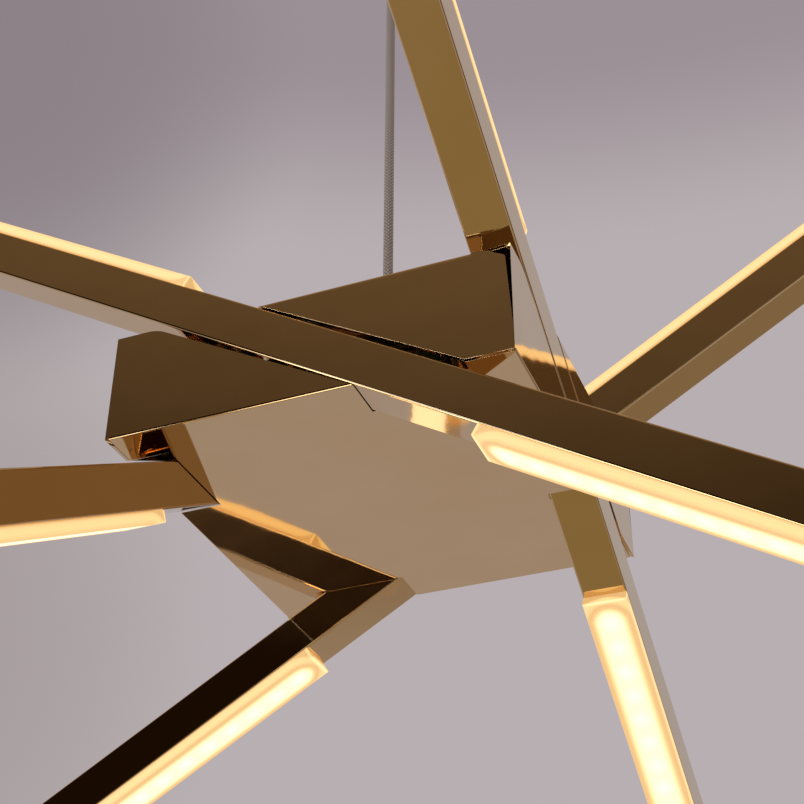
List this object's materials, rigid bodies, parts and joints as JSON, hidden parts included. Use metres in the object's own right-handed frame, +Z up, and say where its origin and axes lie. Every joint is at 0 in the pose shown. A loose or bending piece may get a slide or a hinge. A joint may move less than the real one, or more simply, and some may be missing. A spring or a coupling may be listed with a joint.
{
  "type": "multi-arm pendant chandelier",
  "caption": "Cord-hung chandelier: straight square brass tubes cross the side faces of a flat square hub on the slant, with lit frosted strips along their outer halves.",
  "frame": {"origin": "on the ceiling, midway between the bracket's two screw slots", "axes": "+Z up into the ceiling, +X along the hub's front face, -Y out of the front face"},
  "size_m": [1.0577, 1.0509, 0.7991],
  "materials": {
    "polished_brass": "mirror polished and lacquered sheet and square tube",
    "frosted_acrylic": "frosted translucent acrylic, lit warm white from inside",
    "light_strip": "white-masked board with warm white packages",
    "braided_cord": "grey textile braid over a steel-cored cable",
    "zinc_plated_steel": "bright zinc plating",
    "white_plastic": "moulded, fine matt texture",
    "circuit_board": "green solder mask on glass-fibre board",
    "wire_insulation": "extruded silicone insulation"
  },
  "bodies": {
    "ceiling": {"ceiling_bracket": "zinc_plated_steel", "canopy_cup": "polished_brass", "canopy_screws": "zinc_plated_steel", "canopy_nuts": "polished_brass", "cord_grip": "polished_brass", "grip_nut": "zinc_plated_steel", "cord_tail": "braided_cord", "mains_terminal": "white_plastic", "mains_wires": "wire_insulation"},
    "cord": {"cord": "braided_cord", "cord_coupling": "polished_brass", "coupling_screw": "zinc_plated_steel", "hollow_rod": "zinc_plated_steel", "rod_washer": "zinc_plated_steel", "rod_nut": "zinc_plated_steel"},
    "hub": {"hub_bottom_shell": "polished_brass", "hub_top_shell": "polished_brass", "carrier": "zinc_plated_steel", "bottom_studs": "zinc_plated_steel", "bottom_spacers": "zinc_plated_steel", "stud_nuts": "zinc_plated_steel", "pillars": "zinc_plated_steel", "top_screws": "zinc_plated_steel", "front_driver": "white_plastic", "back_driver": "white_plastic", "driver_screws": "zinc_plated_steel", "junction_board": "circuit_board", "strip_leads": "wire_insulation"},
    "front_bar": {"front_end_caps": "polished_brass", "front_insert": "zinc_plated_steel", "front_lower_diffuser": "frosted_acrylic", "front_lower_strip": "light_strip", "front_pivot_bolt": "zinc_plated_steel", "front_tube": "polished_brass", "front_upper_diffuser": "frosted_acrylic", "front_upper_strip": "light_strip"},
    "right_bar": {"right_end_caps": "polished_brass", "right_insert": "zinc_plated_steel", "right_lower_diffuser": "frosted_acrylic", "right_lower_strip": "light_strip", "right_pivot_bolt": "zinc_plated_steel", "right_tube": "polished_brass", "right_upper_diffuser": "frosted_acrylic", "right_upper_strip": "light_strip"},
    "back_bar": {"back_end_caps": "polished_brass", "back_insert": "zinc_plated_steel", "back_lower_diffuser": "frosted_acrylic", "back_lower_strip": "light_strip", "back_pivot_bolt": "zinc_plated_steel", "back_tube": "polished_brass", "back_upper_diffuser": "frosted_acrylic", "back_upper_strip": "light_strip"},
    "left_bar": {"left_end_caps": "polished_brass", "left_insert": "zinc_plated_steel", "left_lower_diffuser": "frosted_acrylic", "left_lower_strip": "light_strip", "left_pivot_bolt": "zinc_plated_steel", "left_tube": "polished_brass", "left_upper_diffuser": "frosted_acrylic", "left_upper_strip": "light_strip"}
  },
  "joints": [
    {"name": "cord_swing", "type": "hinge", "parent": "ceiling", "child": "cord", "pos_m": [0, 0, -0.046], "axis": [1, 0, 0], "range_deg": [-8, 8]},
    {"name": "hub_turn", "type": "hinge", "parent": "cord", "child": "hub", "pos_m": [0, 0, -0.436], "axis": [0, 0, 1], "range_deg": [-90, 90]},
    {"name": "front_tilt", "type": "hinge", "parent": "hub", "child": "front_bar", "pos_m": [0, -0.0975, -0.4684], "axis": [0, 1, 0], "range_deg": [-1.5, 0.5]},
    {"name": "right_tilt", "type": "hinge", "parent": "hub", "child": "right_bar", "pos_m": [0.0975, 0, -0.4705], "axis": [-1, 0, 0], "range_deg": [-1.5, 0.5]},
    {"name": "back_tilt", "type": "hinge", "parent": "hub", "child": "back_bar", "pos_m": [0, 0.0975, -0.4705], "axis": [0, -1, 0], "range_deg": [-1.5, 0.5]},
    {"name": "left_tilt", "type": "hinge", "parent": "hub", "child": "left_bar", "pos_m": [-0.0975, 0, -0.4664], "axis": [1, 0, 0], "range_deg": [-1.5, 0.5]}
  ]
}
